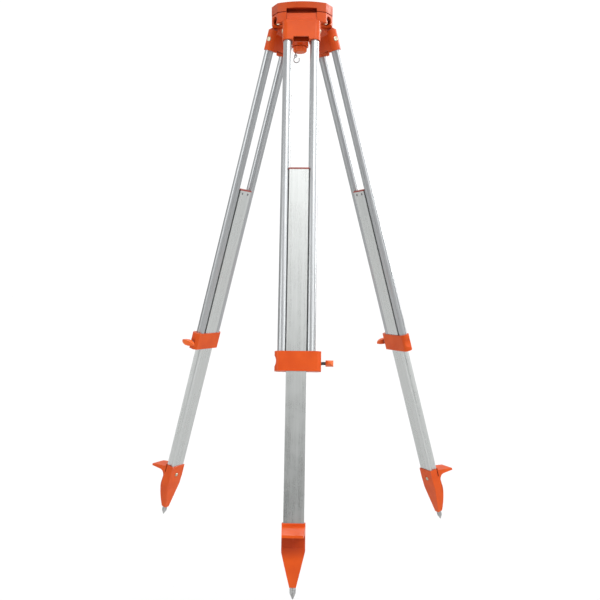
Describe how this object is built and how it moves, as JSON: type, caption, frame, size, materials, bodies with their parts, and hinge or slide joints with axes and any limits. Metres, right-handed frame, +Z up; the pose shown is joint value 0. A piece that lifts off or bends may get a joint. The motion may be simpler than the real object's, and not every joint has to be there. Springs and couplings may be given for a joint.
{
  "type": "surveyor tripod",
  "caption": "Surveyor's tripod: a rounded triangular head with a central fixing screw on three splayed, extending aluminium legs with clamps, foot steps and steel points.",
  "frame": {"origin": "on the floor, under the middle of the footprint's box; the head's axis stands 65.0 mm behind it", "axes": "+Z up, front leg towards -Y, the other two towards +Y on each side, +X to the right"},
  "size_m": [0.8816, 0.6661, 1.3802],
  "materials": {
    "orange_coat": "satin",
    "anodised_tube": "satin",
    "extruded_bar": "satin",
    "zinc_fastener": "satin",
    "steel_plate": "satin",
    "point_steel": "satin",
    "hook_wire": "polished",
    "dark_rivet": "satin",
    "black_nylon": "matte"
  },
  "bodies": {
    "head": {"head_platform": "orange_coat", "hinge_hub": "orange_coat", "hub_screws": "zinc_fastener", "pivot_bolts": "zinc_fastener", "pivot_nuts": "zinc_fastener", "arm_pivot": "zinc_fastener"},
    "front_leg": {"front_hinge_block": "orange_coat", "front_pivot_bushes": "black_nylon", "front_left_tube": "anodised_tube", "front_right_tube": "anodised_tube", "front_tube_screws": "zinc_fastener", "front_clamp_bracket": "orange_coat"},
    "front_pad": {"front_pressure_pad": "black_nylon"},
    "front_clamp_screw": {"front_clamp_stud": "steel_plate", "front_clamp_wing": "orange_coat"},
    "front_foot": {"front_extension_bar": "extruded_bar", "front_extension_cap": "orange_coat", "front_cap_rivets": "dark_rivet", "front_foot_shoe": "orange_coat", "front_shoe_bolt": "zinc_fastener", "front_foot_point": "point_steel"},
    "right_leg": {"right_hinge_block": "orange_coat", "right_pivot_bushes": "black_nylon", "right_left_tube": "anodised_tube", "right_right_tube": "anodised_tube", "right_tube_screws": "zinc_fastener", "right_clamp_bracket": "orange_coat"},
    "right_pad": {"right_pressure_pad": "black_nylon"},
    "right_clamp_screw": {"right_clamp_stud": "steel_plate", "right_clamp_wing": "orange_coat"},
    "right_foot": {"right_extension_bar": "extruded_bar", "right_extension_cap": "orange_coat", "right_cap_rivets": "dark_rivet", "right_foot_shoe": "orange_coat", "right_shoe_bolt": "zinc_fastener", "right_foot_point": "point_steel"},
    "left_leg": {"left_hinge_block": "orange_coat", "left_pivot_bushes": "black_nylon", "left_left_tube": "anodised_tube", "left_right_tube": "anodised_tube", "left_tube_screws": "zinc_fastener", "left_clamp_bracket": "orange_coat"},
    "left_pad": {"left_pressure_pad": "black_nylon"},
    "left_clamp_screw": {"left_clamp_stud": "steel_plate", "left_clamp_wing": "orange_coat"},
    "left_foot": {"left_extension_bar": "extruded_bar", "left_extension_cap": "orange_coat", "left_cap_rivets": "dark_rivet", "left_foot_shoe": "orange_coat", "left_shoe_bolt": "zinc_fastener", "left_foot_point": "point_steel"},
    "arm": {"centring_arm": "steel_plate"},
    "carriage": {"arm_carriage": "steel_plate"},
    "collar": {"screw_collar": "orange_coat"},
    "screw": {"fixing_screw": "steel_plate", "screw_clip": "steel_plate", "fixing_knob": "orange_coat", "hook_eye": "hook_wire"},
    "hook": {"plumb_hook": "hook_wire"}
  },
  "joints": [
    {"name": "front_leg_swing", "type": "hinge", "parent": "head", "child": "front_leg", "pos_m": [0, 0.027, 1.3425], "axis": [-1, 0, 0], "range_deg": [-12.8, 10.2]},
    {"name": "front_leg_extend", "type": "slide", "parent": "front_leg", "child": "front_foot", "axis": [0, -0.2215, -0.9751], "range_m": [-0.323, 0.352]},
    {"name": "front_pad_press", "type": "slide", "parent": "front_leg", "child": "front_pad", "axis": [1, 0, 0], "range_m": [0, 0.0012]},
    {"name": "front_clamp_turn", "type": "hinge", "parent": "front_pad", "child": "front_clamp_screw", "pos_m": [0.057, -0.18587, 0.50484], "axis": [1, 0, 0], "range_deg": [0, 346]},
    {"name": "right_leg_swing", "type": "hinge", "parent": "head", "child": "right_leg", "pos_m": [0.03291, 0.084, 1.3425], "axis": [0.5, -0.866, 0], "range_deg": [-17.1, 5.9]},
    {"name": "right_leg_extend", "type": "slide", "parent": "right_leg", "child": "right_foot", "axis": [0.2546, 0.147, -0.9558], "range_m": [-0.3527, 0.3223]},
    {"name": "right_pad_press", "type": "slide", "parent": "right_leg", "child": "right_pad", "axis": [-0.5, 0.866, 0], "range_m": [0, 0.0012]},
    {"name": "right_clamp_turn", "type": "hinge", "parent": "right_pad", "child": "right_clamp_screw", "pos_m": [0.24263, 0.2709, 0.52316], "axis": [-0.5, 0.866, 0], "range_deg": [0, 346]},
    {"name": "left_leg_swing", "type": "hinge", "parent": "head", "child": "left_leg", "pos_m": [-0.03291, 0.084, 1.3425], "axis": [0.5, 0.866, 0], "range_deg": [-17.1, 5.9]},
    {"name": "left_leg_extend", "type": "slide", "parent": "left_leg", "child": "left_foot", "axis": [-0.2546, 0.147, -0.9558], "range_m": [-0.3527, 0.3223]},
    {"name": "left_pad_press", "type": "slide", "parent": "left_leg", "child": "left_pad", "axis": [-0.5, -0.866, 0], "range_m": [0, 0.0012]},
    {"name": "left_clamp_turn", "type": "hinge", "parent": "left_pad", "child": "left_clamp_screw", "pos_m": [-0.29963, 0.17218, 0.52316], "axis": [-0.5, -0.866, 0], "range_deg": [0, 346]},
    {"name": "arm_swing", "type": "hinge", "parent": "head", "child": "arm", "pos_m": [0, 0.115, 1.3305], "axis": [0, 0, 1], "range_deg": [-4.45, 17.55]},
    {"name": "carriage_slide", "type": "slide", "parent": "arm", "child": "carriage", "axis": [0.1141, 0.9935, 0], "range_m": [-0.0105, 0.0105]},
    {"name": "screw_lift", "type": "slide", "parent": "carriage", "child": "collar", "axis": [0, 0, 1], "range_m": [0, 0.011]},
    {"name": "screw_spin", "type": "hinge", "parent": "collar", "child": "screw", "pos_m": [-0.0057, 0.06533, 1.32], "axis": [0, 0, 1], "continuous": true},
    {"name": "hook_swing", "type": "hinge", "parent": "screw", "child": "hook", "pos_m": [-0.01663, 0.06658, 1.2684], "axis": [0.1141, 0.9935, 0], "range_deg": [-40, 40]}
  ],
  "couplings": [
    {"joint": "front_clamp_turn", "follows": "front_pad_press", "rad_per_m": 5026.5},
    {"joint": "right_clamp_turn", "follows": "right_pad_press", "rad_per_m": 5026.5},
    {"joint": "left_clamp_turn", "follows": "left_pad_press", "rad_per_m": 5026.5}
  ]
}
